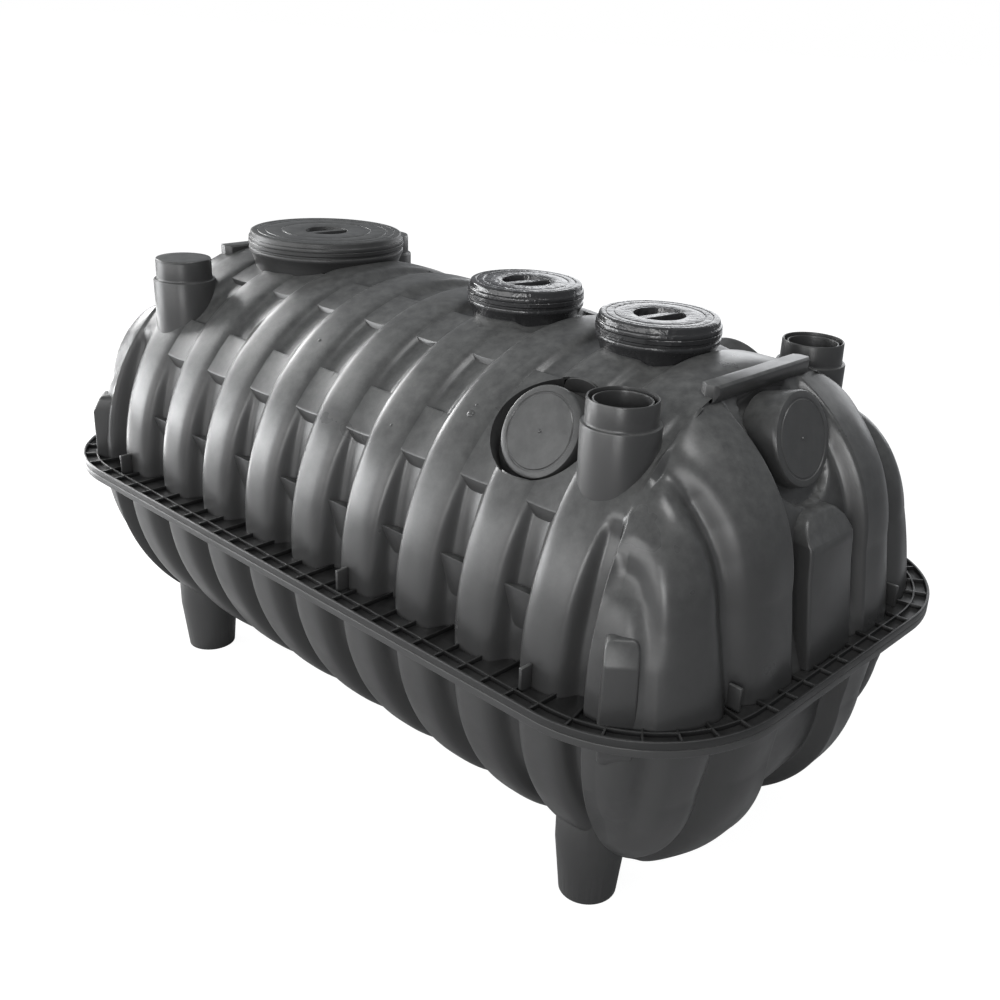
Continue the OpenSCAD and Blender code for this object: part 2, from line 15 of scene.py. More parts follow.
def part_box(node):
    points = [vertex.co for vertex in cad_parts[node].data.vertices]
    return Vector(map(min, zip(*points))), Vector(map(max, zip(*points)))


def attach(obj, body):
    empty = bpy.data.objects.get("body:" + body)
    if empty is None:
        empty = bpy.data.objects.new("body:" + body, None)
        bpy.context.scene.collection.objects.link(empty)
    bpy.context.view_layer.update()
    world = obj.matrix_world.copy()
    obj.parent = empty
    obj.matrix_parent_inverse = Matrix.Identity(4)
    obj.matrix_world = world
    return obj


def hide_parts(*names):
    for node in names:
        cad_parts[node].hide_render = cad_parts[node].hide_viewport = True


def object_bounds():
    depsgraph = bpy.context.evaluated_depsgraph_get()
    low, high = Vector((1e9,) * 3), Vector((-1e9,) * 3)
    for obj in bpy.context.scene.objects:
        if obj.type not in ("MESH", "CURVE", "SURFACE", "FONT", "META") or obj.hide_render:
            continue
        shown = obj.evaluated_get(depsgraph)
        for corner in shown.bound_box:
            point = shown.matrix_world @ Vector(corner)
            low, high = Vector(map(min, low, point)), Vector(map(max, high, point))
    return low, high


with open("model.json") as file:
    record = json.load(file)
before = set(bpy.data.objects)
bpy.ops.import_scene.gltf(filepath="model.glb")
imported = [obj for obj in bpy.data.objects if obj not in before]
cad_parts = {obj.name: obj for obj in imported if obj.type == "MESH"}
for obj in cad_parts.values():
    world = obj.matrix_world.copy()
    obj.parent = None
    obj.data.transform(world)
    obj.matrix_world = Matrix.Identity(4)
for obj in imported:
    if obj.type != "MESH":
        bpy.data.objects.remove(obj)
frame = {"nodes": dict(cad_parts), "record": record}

cad_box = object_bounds()
nodes = frame["nodes"]
print("tank box", [tuple(round(c, 3) for c in p) for p in cad_box])

# %% [markdown]
# The main sizes are read from the solids, so that each new piece lands on the solid it dresses.
# All lengths are in metres. The joint is the plane where the two half shells meet.

# %% Main sizes
low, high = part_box("upper_barrel")
joint_z = low[2]
barrel_end = high[0]
barrel_r = high[1]
axis_z = high[2] - barrel_r
rib_depth = 0.050
climb_share = 0.62  # how far the valleys fill as they climb
shoulder_share = 0.94  # how far the last valley fills at the corner
valley_r = barrel_r - rib_depth
rib_count = 9
pitch = 2 * barrel_end / rib_count
wall = 0.008
half_l = cad_box[1][0]
print("joint", joint_z, "barrel radius", barrel_r, "rib pitch", round(pitch, 4))

# %% [markdown]
# ## The camera
# The tank is seen from a little above one end. The camera is set by its place, the way it looks
# and a slight roll, and it keeps that for the whole lesson.

# %% Camera
yaw, pitch_down, roll = 2.2739, math.radians(22.98), math.radians(3.456)
look = Vector((math.cos(yaw) * math.cos(pitch_down), math.sin(yaw) * math.cos(pitch_down),
    -math.sin(pitch_down)))
level = Vector((math.sin(yaw), -math.cos(yaw), 0.0))
upright = level.cross(look)
right = math.cos(roll) * level + math.sin(roll) * upright
up = -math.sin(roll) * level + math.cos(roll) * upright
bpy.ops.object.select_all(action="DESELECT")
bpy.ops.object.camera_add()
camera = bpy.context.object
camera.name = "camera"
camera.matrix_world = Matrix.Translation((2.0520, -1.9836, joint_z + 1.2188)) @ Matrix((right, up,
    -look)).transposed().to_4x4()
camera.data.lens = 41.4
camera.data.sensor_width = 36
camera.data.shift_x = -0.0759
camera.data.shift_y = 0.0073
camera.data.clip_end = 100
bpy.context.scene.camera = camera
bpy.context.scene.view_settings.view_transform = "Standard"
print("camera at", tuple(round(c, 3) for c in camera.location))

# %% [markdown]
# ## Light and floor
# Black plastic is seen by what it reflects. Broad soft lamps on the left and the open side give
# the long streaks on the ribs. Weaker ones behind and above give the tops their grey, and two low
# ones brighten the far end. The world adds a little fill.

# %% A lamp helper and the lamps
def soft_lamp(name, place, aim, size, watts, tint=(1, 1, 1)):
    bpy.ops.object.light_add(type="AREA", location=place)
    lamp = bpy.context.object
    lamp.name = name
    lamp.visible_camera = False
    lamp.data.shape = "RECTANGLE"
    lamp.data.size, lamp.data.size_y = size
    lamp.data.energy = watts
    lamp.data.color = tint
    lamp.rotation_euler = (Vector(aim) - Vector(place)).to_track_quat("-Z", "Y").to_euler()
    return lamp

soft_lamp("left_window", (-4.6, -3.3, 1.35), (0, 0, 0.6), (3.2, 1.8), 205, (0.98, 0.99, 1.0))
soft_lamp("far_doorway", (-3.9, -0.5, 2.2), (-2.7, -0.3, 0), (1.6, 1.6), 150)
soft_lamp("far_low_glow", (-2.9, -0.5, 0.3), (-1.0, -0.4, 0.8), (1.4, 0.5), 30)
soft_lamp("open_side", (-0.6, -5.8, 2.3), (0, 0, 0.6), (5.5, 2.4), 165)
soft_lamp("near_side", (3.4, -4.6, 2.0), (0.9, -0.3, 0.7), (1.6, 1.6), 95)
soft_lamp("back_sky", (-1.5, 5.6, 2.2), (0, 0, 0.8), (6.0, 2.6), 105, (0.97, 0.98, 1.0))
soft_lamp("near_skylight", (1.9, -0.2, 4.2), (0.6, 0, 0.6), (1.4, 1.0), 48)

# %% World and floor
def to_linear(code):
    """An sRGB hex colour as linear RGBA."""
    parts = [int(code[i:i + 2], 16) / 255 for i in (1, 3, 5)]
    return tuple(c / 12.92 if c <= 0.04045 else ((c + 0.055) / 1.055) ** 2.4 for c in parts) + (1.0,)

def add_node(tree, kind, settings=None, inputs=None):
    """One shader node: its settings, its input values, and its links where an input is a socket."""
    made = tree.nodes.new(kind)
    for key, value in (settings or {}).items():
        setattr(made, key, value)
    for key, value in (inputs or {}).items():
        if isinstance(value, bpy.types.NodeSocket):
            tree.links.new(value, made.inputs[key])
        else:
            made.inputs[key].default_value = value
    return made

def pale_backdrop(tree, path):
    """1 for rays that should see plain white: from the camera or through glass."""
    a = add_node(tree, "ShaderNodeMath", {"operation": "MAXIMUM"},
                 {0: path.outputs["Is Camera Ray"], 1: path.outputs["Is Transmission Ray"]})
    return a.outputs[0]

world = bpy.data.worlds.new("pale_room")
bpy.context.scene.world = world
world.use_nodes = True
tree = world.node_tree
tree.nodes.clear()
path = add_node(tree, "ShaderNodeLightPath")
dim = add_node(tree, "ShaderNodeBackground", {}, {"Color": (0.92, 0.95, 1.0, 1), "Strength": 0.33})
white = add_node(tree, "ShaderNodeBackground", {}, {"Color": (1, 1, 1, 1), "Strength": 1.0})
mix = add_node(tree, "ShaderNodeMixShader", {}, {0: pale_backdrop(tree, path), 1: dim.outputs[0],
    2: white.outputs[0]})
add_node(tree, "ShaderNodeOutputWorld", {}, {"Surface": mix.outputs[0]})

bpy.ops.mesh.primitive_plane_add(size=200)
floor = bpy.context.object
floor.name = "floor"
paint = bpy.data.materials.new("white_floor_paint")
paint.use_nodes = True
tree = paint.node_tree
tree.nodes.clear()
path = add_node(tree, "ShaderNodeLightPath")
matt = add_node(tree, "ShaderNodeBsdfDiffuse", {}, {"Color": (0.55, 0.55, 0.55, 1)})
glow = add_node(tree, "ShaderNodeEmission", {}, {"Color": (1, 1, 1, 1), "Strength": 1.33})
share = add_node(tree, "ShaderNodeMath", {"operation": "MULTIPLY"}, {0: pale_backdrop(tree, path),
    1: 0.72})
mix = add_node(tree, "ShaderNodeMixShader", {}, {0: share.outputs[0], 1: matt.outputs[0],
    2: glow.outputs[0]})
add_node(tree, "ShaderNodeOutputMaterial", {}, {"Surface": mix.outputs[0]})
floor.data.materials.append(paint)

# %% [markdown]
# ## The plastic
# The shells are polypropylene, moulded in steel tools. The skin is a satin black with a fine
# orange peel and faint flow marks. Faces that point up are mixed toward a paler grey in noisy
# patches: this is painted top light, standing in for the light from above. A Principled shader
# with noise in its roughness and bump gives the peel and the flow marks. Every pattern reads
# Object coordinates, so it stays on the plastic.

# %% Satin moulded polypropylene
def moulded_plastic(name, shade, top_light_colour, rough, peel_mm=2.2, top_light_amount=0.5, gloss_break=0.10,
    bump=0.12, crinkle_mm=0):
    skin = bpy.data.materials.new(name)
    skin.use_nodes = True
    tree = skin.node_tree
    tree.nodes.clear()
    place = add_node(tree, "ShaderNodeTexCoord").outputs["Object"]
    peel = add_node(tree, "ShaderNodeTexNoise", {}, {"Vector": place, "Scale": 1000 / peel_mm / 3,
        "Detail": 2.0, "Roughness": 0.6})
    flow = add_node(tree, "ShaderNodeTexNoise", {}, {"Vector": place, "Scale": 1000 / 180,
        "Detail": 4.0, "Roughness": 0.55})
    # Painted top light: faces that point up are mixed toward the paler second colour, broken into patches by this
    # noise.
    patchy_noise = add_node(tree, "ShaderNodeTexNoise", {}, {"Vector": place, "Scale": 1000 / 28,
        "Detail": 6.0, "Roughness": 0.7})
    facing = add_node(tree, "ShaderNodeSeparateXYZ", {}, {0: add_node(tree,
        "ShaderNodeNewGeometry").outputs["Normal"]})
    upward = add_node(tree, "ShaderNodeMapRange", {}, {"Value": facing.outputs["Z"],
        "From Min": 0.1, "From Max": 1.0, "To Min": 0.0, "To Max": top_light_amount})
    patch = add_node(tree, "ShaderNodeMapRange", {}, {"Value": patchy_noise.outputs["Fac"],
        "From Min": 0.35, "From Max": 0.68, "To Min": 0.25, "To Max": 1.0})
    painted_top_light = add_node(tree, "ShaderNodeMath", {"operation": "MULTIPLY"}, {0: upward.outputs[0],
        1: patch.outputs[0]})
    colour = add_node(tree, "ShaderNodeMix", {"data_type": "RGBA"}, {"Factor": painted_top_light.outputs[0],
        "A": to_linear(shade), "B": to_linear(top_light_colour)})
    dull = add_node(tree, "ShaderNodeMapRange", {}, {"Value": flow.outputs["Fac"], "From Min": 0.3,
        "From Max": 0.7, "To Min": rough - gloss_break, "To Max": rough + gloss_break})
    relief = add_node(tree, "ShaderNodeBump", {}, {"Height": peel.outputs["Fac"], "Strength": bump,
        "Distance": 0.0006})
    if crinkle_mm:
        folds = add_node(tree, "ShaderNodeTexNoise", {}, {"Vector": place,
            "Scale": 1000 / crinkle_mm / 3, "Detail": 3.0, "Roughness": 0.55, "Distortion": 2.2})
        relief = add_node(tree, "ShaderNodeBump", {}, {"Height": folds.outputs["Fac"],
            "Strength": 0.55, "Distance": 0.004, "Normal": relief.outputs[0]})
    shader = add_node(tree, "ShaderNodeBsdfPrincipled", {},
        {"Base Color": colour.outputs["Result"], "Roughness": dull.outputs[0],
        "IOR": 1.49, "Normal": relief.outputs[0]})
    add_node(tree, "ShaderNodeOutputMaterial", {}, {"Surface": shader.outputs[0]})
    return skin

# The second colour of each plastic is painted top light, laid on faces that point up.
shell_black = moulded_plastic("upper_shell_polypropylene", "#343434", "#6d6e6c", 0.36)
lower_black = moulded_plastic("lower_shell_polypropylene", "#313131", "#5c5c59", 0.40)
flange_black = moulded_plastic("flange_polypropylene", "#1a1a1a", "#3a3a39", 0.45)
socket_black = moulded_plastic("socket_polypropylene", "#313131", "#6a6b69", 0.38)
lid_black = moulded_plastic("large_lid_polypropylene", "#262626", "#696a68", 0.42)
film_black = moulded_plastic("lids_under_stretch_film", "#252526", "#5c5d5b", 0.20,
    top_light_amount=0.2, gloss_break=0.06, crinkle_mm=14)
finishes = {"upper_shell": shell_black, "lower_shell": lower_black, "upper_flange": flange_black,
            "sockets": socket_black, "large_lid": lid_black, "wrapped_lids": film_black}
slot_of = {row["node"]: row["material_slot"] for row in frame["record"]["subparts"]}
for name, node in nodes.items():
    for place in node.material_slots:
        place.material = finishes[slot_of[name]]
print(len(nodes), "solids have their plastic")

# %% [markdown]
# ## Helpers for new pieces
# A new piece must be the only thing selected while it is shaped. When it is done, its place is
# put into its mesh, so that the object itself sits at the origin like the solids do.

# %% Piece helpers
def only(piece):
    if bpy.context.object and bpy.context.object.mode != "OBJECT":
        bpy.ops.object.mode_set(mode="OBJECT")
    bpy.ops.object.select_all(action="DESELECT")
    piece.select_set(True)
    bpy.context.view_layer.objects.active = piece

def apply_modifier(piece, kind, **settings):
    only(piece)
    made = piece.modifiers.new(kind.lower(), kind)
    for key, value in settings.items():
        setattr(made, key, value)
    bpy.ops.object.modifier_apply(modifier=made.name)

def dress(piece, name, slot, *stands_for):
    only(piece)
    bpy.ops.object.transform_apply(location=True, rotation=True, scale=True)
    piece.name = name
    piece.data.name = name
    piece.data.materials.clear()
    piece.data.materials.append(finishes[slot])
    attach(piece, "root")
    if stands_for:
        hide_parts(*stands_for)
    print(name, len(piece.data.polygons), "faces")
    return piece

# %% [markdown]
# Most pieces start from an outline. It is drawn one point after another by extruding a single
# vertex, and then filled, extruded or spun.

# %% Outline, plate and turned piece
def draw(points, closed=False):
    """An edge chain through the points."""
    bpy.ops.object.select_all(action="DESELECT")
    bpy.ops.mesh.primitive_plane_add(size=0.01, location=(0, 0, 0))
    piece = bpy.context.object
    bpy.ops.object.mode_set(mode="EDIT")
    bpy.ops.mesh.select_mode(type="VERT")
    bpy.ops.mesh.select_all(action="SELECT")
    bpy.ops.mesh.merge(type="CENTER")
    bpy.ops.transform.translate(value=points[0])
    for a, b in zip(points, points[1:]):
        bpy.ops.mesh.extrude_vertices_move(TRANSFORM_OT_translate={"value": tuple(q - p for p,
            q in zip(a, b))})
    bpy.ops.mesh.select_all(action="SELECT")
    if closed:
        bpy.ops.mesh.edge_face_add()
    return piece

def settle(piece, gap=0.0001):
    """Merge, turn the faces outward and leave edit mode."""
    only(piece)
    bpy.ops.object.mode_set(mode="EDIT")
    bpy.ops.mesh.select_all(action="SELECT")
    bpy.ops.mesh.remove_doubles(threshold=gap)
    bpy.ops.mesh.normals_make_consistent(inside=False)
    bpy.ops.object.mode_set(mode="OBJECT")
    return piece

def plate(points, push):
    """A flat outline, filled and extruded by the vector push."""
    piece = draw(points, closed=True)
    bpy.ops.mesh.extrude_region_move(TRANSFORM_OT_translate={"value": push})
    return settle(piece)

def turned(outline, steps=96):
    """A closed solid spun about Z from (radius, height) points that begin and end on the axis."""
    piece = draw([(r, 0, h) for r, h in outline])
    bpy.ops.mesh.spin(steps=steps, angle=2 * math.pi, center=(0, 0, 0), axis=(0, 0, 1))
    return settle(piece)

def soft_edges(piece, width, segments=2, limit=30, smooth_limit=35):
    apply_modifier(piece, "BEVEL", width=width, segments=segments, limit_method="ANGLE",
        angle_limit=math.radians(limit))
    only(piece)
    bpy.ops.object.shade_smooth_by_angle(angle=math.radians(smooth_limit))
    return piece

def copy_of(piece):
    twin = piece.copy()
    twin.data = piece.data.copy()
    bpy.context.collection.objects.link(twin)
    return twin

def mirrored(piece, x=1, y=1, z=1):
    """A copy on the other side of the tank's middle planes."""
    twin = copy_of(piece)
    only(twin)
    bpy.ops.object.mode_set(mode="EDIT")
    bpy.ops.mesh.select_all(action="SELECT")
    bpy.ops.transform.resize(value=(x, y, z), center_override=(0, 0, joint_z))
    if x * y * z < 0:
        bpy.ops.mesh.flip_normals()
    bpy.ops.object.mode_set(mode="OBJECT")
    return twin

def softened(node, width, limit=30, flat=1.0):
    """The solid's own mesh, merged and cleaned, with its sharp edges rounded."""
    piece = copy_of(nodes[node])
    only(piece)
    bpy.ops.object.mode_set(mode="EDIT")
    bpy.ops.mesh.select_all(action="SELECT")
    bpy.ops.mesh.remove_doubles(threshold=0.00005)
    bpy.ops.mesh.dissolve_limited(angle_limit=math.radians(flat))
    bpy.ops.mesh.normals_make_consistent(inside=False)
    bpy.ops.object.mode_set(mode="OBJECT")
    return soft_edges(piece, width, 2, limit)

# %% [markdown]
# ## The ribbed barrel
# The middle of each half shell is a half barrel with nine round ribs. The rib's outline is drawn
# once, from valley to valley. A spin sweeps it over the top, an array repeats it along the tank,
# and Solidify gives the moulding its real wall.

# %% One rib and the whole barrel
rib_marks = [0, 0.12, 0.24, 0.35, 0.44, 0.51, 0.57, 0.62, 0.66, 0.70, 0.74, 0.79, 0.86, 1]
rib_rise = [1, 0.999, 0.992, 0.972, 0.935, 0.875, 0.775, 0.63, 0.465, 0.285, 0.14, 0.045, 0.008, 0]

def ribbed_half():
    half = [(m * pitch / 2, valley_r + rib_depth * h) for m, h in zip(rib_marks, rib_rise)]
    outline = [(-x, r) for x, r in reversed(half[1:])] + half
    x0 = -barrel_end + pitch / 2
    piece = draw([(x0 + x, r, joint_z) for x, r in outline])
    bpy.ops.mesh.extrude_edges_move(TRANSFORM_OT_translate={"value": (0, 0, axis_z - joint_z)})
    bpy.ops.mesh.spin(steps=108, angle=math.pi, center=(0, 0, axis_z), axis=(-1, 0, 0))
    bpy.ops.mesh.extrude_edges_move(TRANSFORM_OT_translate={"value": (0, 0, joint_z - axis_z)})
    bpy.ops.object.mode_set(mode="OBJECT")
    apply_modifier(piece, "ARRAY", count=rib_count, use_relative_offset=False,
        use_constant_offset=True,
                   constant_offset_displace=(pitch, 0, 0), use_merge_vertices=True,
                   merge_threshold=0.0005)
    return settle(piece, 0.0003)

barrel = ribbed_half()
print("barrel z", round(max(v.co.z for v in barrel.data.vertices), 3),
    round(min(v.co.z for v in barrel.data.vertices), 3))

# %% [markdown]
# The valleys get shallower as they climb. Towards the corners the last valley is filled to a
# smooth shoulder, which carries the pipe
# socket. The same curve later closes the ends, so that both sides of the joint agree.

# %% The shoulder, the outward side and the lower twin
def ease(a, b, v):
    k = np.clip((v - a) / (b - a), 0, 1)
    return k * k * (3 - 2 * k)

def shoulder(y, z):
    """How far the last valley is filled at this angle round the barrel, 0 to 1."""
    angle = math.degrees(math.atan2(max(z - axis_z, 0), abs(y)))
    return float(ease(33.5, 38.5, angle) * (1 - 0.60 * ease(51, 59, angle) * (1 - ease(60, 68,
        angle)) - 0.65 * ease(74, 84, angle)))

def face_outwards(piece):
    """Outward means away from the tank's middle line."""
    mesh = piece.data
    best = max(mesh.polygons, key=lambda f: abs(f.center.z - joint_z) + abs(f.center.y))
    if best.normal.dot(Vector((0, best.center.y, best.center.z - joint_z))) < 0:
        mesh.flip_normals()

def shallow(y, z):
    """How much shallower the valleys get as they climb, from 0 to climb_share."""
    return climb_share * float(ease(13, 43, math.degrees(math.atan2(max(z - axis_z, 0), abs(y)))))

face_outwards(barrel)
lower_half = mirrored(barrel, z=-1)
for v in barrel.data.vertices:
    if v.co.z > axis_z:
        radius = math.hypot(v.co.y, v.co.z - axis_z)
        k = 1 + (barrel_r - radius) * shallow(v.co.y, v.co.z) / radius
        v.co.y *= k
        v.co.z = axis_z + (v.co.z - axis_z) * k
    if abs(v.co.x) > barrel_end - pitch / 2 and v.co.z > axis_z:
        radius = math.hypot(v.co.y, v.co.z - axis_z)
        fill = valley_r + shoulder_share * rib_depth - radius
        if fill > 0:
            k = 1 + fill * shoulder(v.co.y, v.co.z) / radius
            v.co.y *= k
            v.co.z = axis_z + (v.co.z - axis_z) * k

# %% [markdown]
# The manhole necks, the pipe sockets and the round pockets of the side bosses pass through the
# barrel. Plain cylinders cut them out with a Boolean.

# %% Places of what passes through
lids = {}
for key in ("large", "middle", "near"):
    a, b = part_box("lid_" + key)
    lids[key] = ((a[0] + b[0]) / 2, (b[0] - a[0]) / 2 - 0.005, b[2])
sockets = {}
for key in ("near_left", "near_right", "far_left", "far_right"):
    a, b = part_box("socket_" + key)
    sockets[key] = ((a[0] + b[0]) / 2, (a[1] + b[1]) / 2, a[2], b[2])
boss_x, boss_angle, pocket_angle, boss_tilt = half_l - 0.583, math.radians(48.6), math.radians(51), math.radians(29)
pocket_r, boss_r = 0.128, 0.100
print("lids", lids)
print("sockets", sockets)

def on_barrel(x, radius, angle, side=-1):
    """A point by its angle up from the side, on the left (-1) or right (1)."""
    return Vector((x, side * radius * math.cos(math.radians(angle)),
        axis_z + radius * math.sin(math.radians(angle))))

# %% Cut the barrel
def rod(radius, length, place, turn=(0, 0, 0), sides=96):
    bpy.ops.object.select_all(action="DESELECT")
    bpy.ops.mesh.primitive_cylinder_add(vertices=sides, radius=radius, depth=length,
        location=place, rotation=turn)
    return bpy.context.object

def cut(piece, cutters):
    for cutter in cutters:
        apply_modifier(piece, "BOOLEAN", operation="DIFFERENCE", object=cutter, solver="EXACT")
        bpy.data.objects.remove(cutter)
    return piece

def pocket_rod(side, radius, length=0.17, back=0.02):
    place = on_barrel(boss_x, barrel_r - back, math.degrees(pocket_angle), side)
    return rod(radius, length, place, (-side * (math.pi / 2 - pocket_angle), 0, 0))

apply_modifier(barrel, "SOLIDIFY", thickness=wall, offset=-1)
cutters = [rod(r - 0.012, 0.4, (x, 0, joint_z + 0.62)) for x, r, top in lids.values()]
cutters += [rod(0.0797, 0.6, (x, y, joint_z + 0.40)) for x, y, a, b in sockets.values()]
cutters += [pocket_rod(side, pocket_r + 0.004) for side in (-1, 1)]
cut(barrel, cutters)
only(barrel)
bpy.ops.object.shade_smooth_by_angle(angle=math.radians(40))
dress(barrel, "upper_barrel_skin", "upper_shell", "upper_barrel")
apply_modifier(lower_half, "SOLIDIFY", thickness=wall, offset=-1)
only(lower_half)
bpy.ops.object.shade_smooth_by_angle(angle=math.radians(40))
dress(lower_half, "lower_barrel_skin", "lower_shell", "lower_barrel")

# %% [markdown]
# ## The ends
# Each end is a lofted dome: a foot like a rounded square at the joint, rolled over to meet the
# barrel. Deep furrows part it into bulging ribs. A sheet of grid is laid over it by a formula,
# since no single operator makes such a form, and each point is then pushed in along the normal by
# the depth of the furrow, panel or pocket it lies in. Its edge is extruded into the last valley.

# %% The plain form of an end
roll_r, roll_x = 0.372, half_l - 0.450
roll_z = (axis_z + barrel_r - joint_z) - 0.013 - roll_r
lean = 0.026
top_h = roll_z + math.sqrt(roll_r ** 2 - (barrel_end - roll_x) ** 2)
rise = axis_z - joint_z

def reach_at(z):
    """How far the middle ribs stand out along X, at height z from the joint."""
    z = np.asarray(z, dtype=float)
    over = roll_x + np.sqrt(np.maximum(roll_r ** 2 - (z - roll_z) ** 2, 0))
    return np.where(z > roll_z, over, roll_x + roll_r + lean * (1 - z / roll_z))

def root_at(z):
    return barrel_end + 0.034 * (1 - np.minimum(z / top_h, 1) ** 2)

def plain_end(c, z):
    half = np.sqrt(barrel_r ** 2 - np.maximum(z - rise, 0) ** 2)
    y = np.minimum(c, (c / barrel_r) ** 0.25 * half)
    n = np.interp(z / top_h, [0, 0.37, 0.65, 0.83, 1], [3.1, 2.75, 2.6, 2.3, 2.2])
    out = np.power(np.maximum(1 - (y / half) ** n, 0), 1 / n)
    return np.stack([root_at(z) + (reach_at(z) - root_at(z)) * out, y, z], axis=-1)

# %% Furrows, panel and pocket
def furrow(y, z, path, spread):
    """Depth of a groove along marks of (distance from the middle, height, depth)."""
    best, depth = np.full(y.shape, 9.0), np.zeros(y.shape)
    for (ya, za, da), (yb, zb, db) in zip(path, path[1:]):
        k = np.clip(((y - ya) * (yb - ya) + (z - za) * (zb - za)) / ((yb - ya) ** 2 + (zb - za) ** 2), 0, 1)
        far = np.hypot(y - ya - k * (yb - ya), z - za - k * (zb - za))
        depth = np.where(far < best, da + k * (db - da), depth)
        best = np.minimum(best, far)
    return depth * np.exp(-np.abs(best / spread) ** 1.8)

side_groove = [(0.319, 0, 0.030), (0.321, 0.12, 0.036), (0.323, 0.30, 0.044), (0.328, 0.37, 0.046),
    (0.336, 0.42, 0.042), (0.346, 0.465, 0.016)]
corner_furrow = [(0.449, 0.356, 0.000), (0.466, 0.325, 0.008), (0.478, 0.292, 0.018), (0.485,
    0.256, 0.021), (0.488, 0.20, 0.014),
                 (0.494, 0.13, 0.006), (0.503, 0.06, 0.002), (0.507, 0, 0.001)]
low_furrow = [(0.449, 0.356, 0.004), (0.474, 0.27, 0.024), (0.485, 0.17, 0.030), (0.494, 0.08,
    0.026), (0.503, 0, 0.020)]

def end_depth(y, z, upper):
    t = z / top_h
    panel = (1 - ease(0.126, 0.150, y)) * np.interp(t, [0, 0.15, 0.37, 0.80, 0.93, 1], [0.4, 0.85,
        1, 1, 0.6, 0.15])
    deep = 0.042 * panel - 0.005 * np.exp(-((y - 0.222) / 0.045) ** 2) * (1 - ease(0.8, 1, t))
    deep += furrow(y, z, side_groove, 0.032) + furrow(y, z, corner_furrow if upper else low_furrow,
        0.016 if upper else 0.024)
    edge = np.interp(z, [0, 0.13, 0.256, 0.325, 0.356], [0.497, 0.488, 0.478, 0.462, 0.449])
    deep += (0.008 if upper else 0.006) * ease(0, 0.022, y - edge) * (1 - ease(0.30, 0.352, z))
    if upper:
        deep += 0.020 * (1 - ease(0.112, 0.120, np.hypot(y, z - 0.462)))
    return deep

columns = np.unique(np.concatenate([np.linspace(a, b, k, endpoint=False) for a, b, k in (
    (0, 0.120, 17), (0.120, 0.156, 12), (0.156, 0.280, 12), (0.280, 0.365, 17),
    (0.365, 0.435, 9), (0.435, 0.510, 22), (0.510, 0.538, 7), (0.538, 0.545, 4))] + [[0.545]]))
columns = columns * barrel_r / 0.545
heights = np.concatenate([np.linspace(0, roll_z, 27, endpoint=False),
    roll_z + roll_r * np.sin(np.linspace(0, math.acos((barrel_end - roll_x) / roll_r), 58))])

def end_points(upper):
    """Grid of points of the end, right half, after the furrows are pushed in."""
    flat = plain_end(*np.meshgrid(columns, heights))
    across, along = np.gradient(flat, axis=1), np.gradient(flat, axis=0)
    normal = np.cross(across, along)
    normal /= np.maximum(np.linalg.norm(normal, axis=2, keepdims=True), 1e-9)
    deep = end_depth(flat[..., 1], flat[..., 2], upper)
    away = ease(0, 0.010, flat[..., 0] - root_at(flat[..., 2]))
    shaped = flat - normal * (deep * away)[..., None]
    shaped[:, 0, 1] = 0
    shaped[0, :, 2] = 0
    return shaped

print("end grid", 2 * len(columns) - 1, "by", len(heights))

# %% [markdown]
# The flank that runs from the end's edge down into the last valley is extruded in seven steps.
# Where the shoulder fills the valley, the steps stay nearly level.

# %% Lay the grid and extrude its edge
def flank_point(p, step, steps, upper):
    """Next point down the flank of the last valley."""
    left = (p.x - barrel_end) * (steps - step) / (steps - step + 1)
    fall = lambda s: 0.5 - 0.5 * math.cos(math.pi * s)
    h = max(p.z - axis_z, 0)
    radius = math.hypot(p.y, h)
    done, goal = fall((step - 1) / steps), fall(step / steps)
    fill = 0
    if upper:
        fill = rib_depth * shallow(p.y, p.z)
        fill += max(shoulder_share * rib_depth - fill, 0) * shoulder(p.y, p.z)
    k = 1 + (valley_r + fill - radius) * ((goal - done) / (1 - done)) / radius
    return Vector((barrel_end + left, p.y * k, axis_z + h * k if p.z > axis_z else p.z))

def moulded_end(upper):
    shaped = end_points(upper)
    wide, tall = 2 * len(columns) - 1, len(heights)
    bpy.ops.object.select_all(action="DESELECT")
    bpy.ops.mesh.primitive_grid_add(x_subdivisions=wide - 1, y_subdivisions=tall - 1, size=1)
    piece = bpy.context.object
    place = np.empty(len(piece.data.vertices) * 3)
    piece.data.vertices.foreach_get("co", place)
    place = place.reshape(-1, 3)
    i = np.rint((place[:, 0] + 0.5) * (wide - 1)).astype(int) - (len(columns) - 1)
    j = np.rint((place[:, 1] + 0.5) * (tall - 1)).astype(int)
    place = shaped[j, np.abs(i)] * np.stack([np.ones(len(i)), np.sign(i), np.ones(len(i))], axis=1)
    rim = (np.abs(i) == len(columns) - 1)
    place[rim, 0] = root_at(place[rim, 2])
    place[:, 2] += joint_z
    piece.data.vertices.foreach_set("co", place.ravel())
    piece.data.update()
    bpy.ops.object.mode_set(mode="EDIT")
    bpy.ops.mesh.select_mode(type="EDGE")
    bpy.ops.mesh.select_all(action="DESELECT")
    bpy.ops.object.mode_set(mode="OBJECT")
    for line in piece.data.edges:
        a, b = line.vertices
        line.select = bool((rim[a] and rim[b]) or (j[a] == j[b] == tall - 1))
    bpy.ops.object.mode_set(mode="EDIT")
    steps = 7
    for step in range(1, steps + 1):
        bpy.ops.mesh.extrude_edges_move(TRANSFORM_OT_translate={"value": (0, 0, 0)})
        bpy.ops.object.mode_set(mode="OBJECT")
        for v in piece.data.vertices:
            if v.select:
                v.co = flank_point(v.co, step, steps, upper)
        bpy.ops.object.mode_set(mode="EDIT")
    bpy.ops.object.mode_set(mode="OBJECT")
    return piece

near_end = moulded_end(True)
low_end = moulded_end(False)
print("end", len(near_end.data.polygons), "faces, reach",
    round(max(v.co.x for v in near_end.data.vertices), 3))

